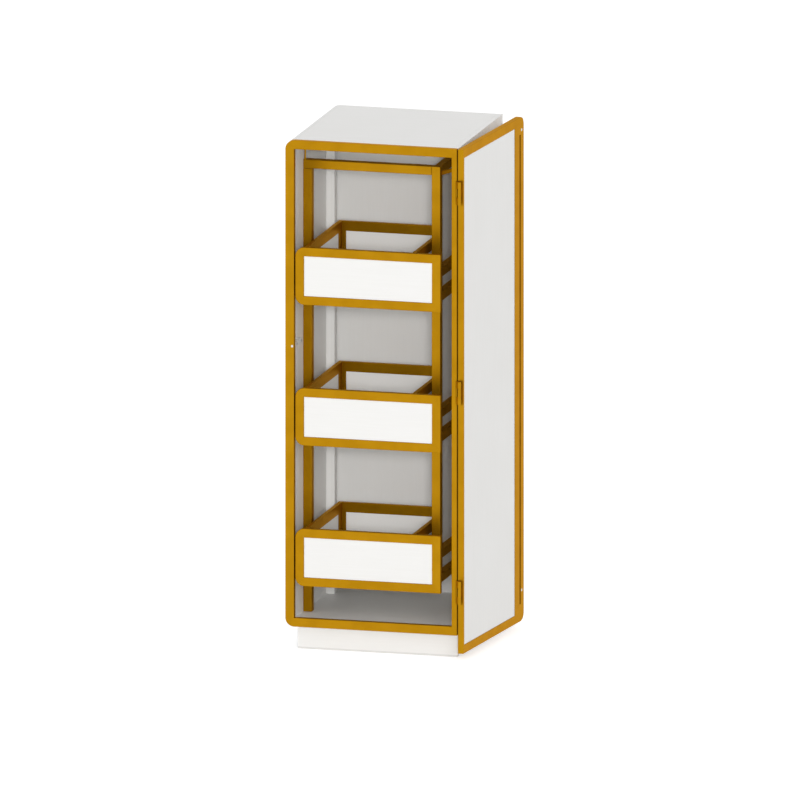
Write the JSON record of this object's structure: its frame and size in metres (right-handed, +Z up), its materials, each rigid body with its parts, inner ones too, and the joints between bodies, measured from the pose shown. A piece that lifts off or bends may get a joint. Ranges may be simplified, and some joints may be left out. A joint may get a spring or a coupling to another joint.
{
  "type": "pull out larder unit",
  "caption": "Tall open kitchen cabinet on screw feet with inner pull out drawers on telescopic runners and a tall framed door folded back on knuckle hinges.",
  "frame": {"origin": "floor level, at the centre of the outline with the door folded back", "axes": "+Z up, +X to the cabinet's right, where the door hangs, +Y from the open front to the back"},
  "size_m": [0.6752, 0.618, 1.765],
  "materials": {
    "white_board": "satin white lacquer",
    "brass_profile": "brushed, brass coloured",
    "brass_hinge": "satin brass",
    "zinc_steel": "zinc plated",
    "foot_steel": "zinc plated",
    "pale_plastic": "matte moulded",
    "dark_plastic": "matte moulded"
  },
  "bodies": {
    "cabinet": {"left_side": "white_board", "right_side": "white_board", "top_panel": "white_board", "bottom_panel": "white_board", "top_corner_piece": "white_board", "bottom_corner_piece": "white_board", "back_panel": "white_board", "plinth_board": "white_board", "left_rear_post": "white_board", "ladder_liner": "white_board", "ladder_fixing_board": "white_board", "face_frame": "brass_profile", "left_front_post": "brass_profile", "front_top_bar": "brass_profile", "hanger_rod": "brass_profile", "top_stay": "brass_profile", "ladder_frame": "brass_profile", "drawer_1_left_fixed_member": "zinc_steel", "drawer_1_right_fixed_member": "zinc_steel", "drawer_2_left_fixed_member": "zinc_steel", "drawer_2_right_fixed_member": "zinc_steel", "drawer_3_left_fixed_member": "zinc_steel", "drawer_3_right_fixed_member": "zinc_steel", "hinge_1_carcass_leaf": "brass_hinge", "hinge_2_carcass_leaf": "brass_hinge", "hinge_3_carcass_leaf": "brass_hinge", "front_left_leg_socket": "dark_plastic", "front_right_leg_socket": "dark_plastic", "rear_left_leg_socket": "dark_plastic", "rear_right_leg_socket": "dark_plastic", "latch_housing": "pale_plastic"},
    "door": {"door_frame": "brass_profile", "door_panel": "white_board", "hinge_1_door_leaf": "brass_hinge", "hinge_2_door_leaf": "brass_hinge", "hinge_3_door_leaf": "brass_hinge"},
    "latch_plunger_body": {"latch_plunger": "pale_plastic"},
    "drawer_1": {"drawer_1_tray": "white_board", "drawer_1_rim_rail": "brass_profile", "drawer_1_front_frame": "brass_profile", "drawer_1_front_panel": "white_board"},
    "drawer_1_left_middle": {"drawer_1_left_middle_member": "zinc_steel"},
    "drawer_1_right_middle": {"drawer_1_right_middle_member": "zinc_steel"},
    "drawer_2": {"drawer_2_tray": "white_board", "drawer_2_rim_rail": "brass_profile", "drawer_2_front_frame": "brass_profile", "drawer_2_front_panel": "white_board"},
    "drawer_2_left_middle": {"drawer_2_left_middle_member": "zinc_steel"},
    "drawer_2_right_middle": {"drawer_2_right_middle_member": "zinc_steel"},
    "drawer_3": {"drawer_3_tray": "white_board", "drawer_3_rim_rail": "brass_profile", "drawer_3_front_frame": "brass_profile", "drawer_3_front_panel": "white_board"},
    "drawer_3_left_middle": {"drawer_3_left_middle_member": "zinc_steel"},
    "drawer_3_right_middle": {"drawer_3_right_middle_member": "zinc_steel"},
    "front_left_foot_body": {"front_left_foot": "foot_steel"},
    "front_right_foot_body": {"front_right_foot": "foot_steel"},
    "rear_left_foot_body": {"rear_left_foot": "foot_steel"},
    "rear_right_foot_body": {"rear_right_foot": "foot_steel"}
  },
  "joints": [
    {"name": "door_swing", "type": "hinge", "parent": "cabinet", "child": "door", "pos_m": [0.27444, -0.303, 0.925], "axis": [0, 0, 1], "range_deg": [-265, 5]},
    {"name": "drawer_1_slide", "type": "slide", "parent": "cabinet", "child": "drawer_1", "axis": [0, -1, 0], "range_m": [0, 0.42]},
    {"name": "drawer_1_left_runner", "type": "slide", "parent": "cabinet", "child": "drawer_1_left_middle", "axis": [0, -1, 0], "range_m": [0, 0.21]},
    {"name": "drawer_1_right_runner", "type": "slide", "parent": "cabinet", "child": "drawer_1_right_middle", "axis": [0, -1, 0], "range_m": [0, 0.21]},
    {"name": "drawer_2_slide", "type": "slide", "parent": "cabinet", "child": "drawer_2", "axis": [0, -1, 0], "range_m": [0, 0.42]},
    {"name": "drawer_2_left_runner", "type": "slide", "parent": "cabinet", "child": "drawer_2_left_middle", "axis": [0, -1, 0], "range_m": [0, 0.21]},
    {"name": "drawer_2_right_runner", "type": "slide", "parent": "cabinet", "child": "drawer_2_right_middle", "axis": [0, -1, 0], "range_m": [0, 0.21]},
    {"name": "drawer_3_slide", "type": "slide", "parent": "cabinet", "child": "drawer_3", "axis": [0, -1, 0], "range_m": [0, 0.42]},
    {"name": "drawer_3_left_runner", "type": "slide", "parent": "cabinet", "child": "drawer_3_left_middle", "axis": [0, -1, 0], "range_m": [0, 0.21]},
    {"name": "drawer_3_right_runner", "type": "slide", "parent": "cabinet", "child": "drawer_3_right_middle", "axis": [0, -1, 0], "range_m": [0, 0.21]},
    {"name": "latch_plunger_slide", "type": "slide", "parent": "cabinet", "child": "latch_plunger_body", "axis": [0, -1, 0], "range_m": [0, 0.03]},
    {"name": "front_left_foot_turn", "type": "hinge", "parent": "cabinet", "child": "front_left_foot_body", "pos_m": [-0.27756, -0.181, 0.03], "axis": [0, 0, 1], "continuous": true},
    {"name": "front_right_foot_turn", "type": "hinge", "parent": "cabinet", "child": "front_right_foot_body", "pos_m": [0.20244, -0.181, 0.03], "axis": [0, 0, 1], "continuous": true},
    {"name": "rear_left_foot_turn", "type": "hinge", "parent": "cabinet", "child": "rear_left_foot_body", "pos_m": [-0.27756, 0.229, 0.03], "axis": [0, 0, 1], "continuous": true},
    {"name": "rear_right_foot_turn", "type": "hinge", "parent": "cabinet", "child": "rear_right_foot_body", "pos_m": [0.20244, 0.229, 0.03], "axis": [0, 0, 1], "continuous": true}
  ],
  "couplings": [
    {"joint": "drawer_1_left_runner", "follows": "drawer_1_slide", "ratio": 0.5},
    {"joint": "drawer_1_right_runner", "follows": "drawer_1_slide", "ratio": 0.5},
    {"joint": "drawer_2_left_runner", "follows": "drawer_2_slide", "ratio": 0.5},
    {"joint": "drawer_2_right_runner", "follows": "drawer_2_slide", "ratio": 0.5},
    {"joint": "drawer_3_left_runner", "follows": "drawer_3_slide", "ratio": 0.5},
    {"joint": "drawer_3_right_runner", "follows": "drawer_3_slide", "ratio": 0.5}
  ]
}
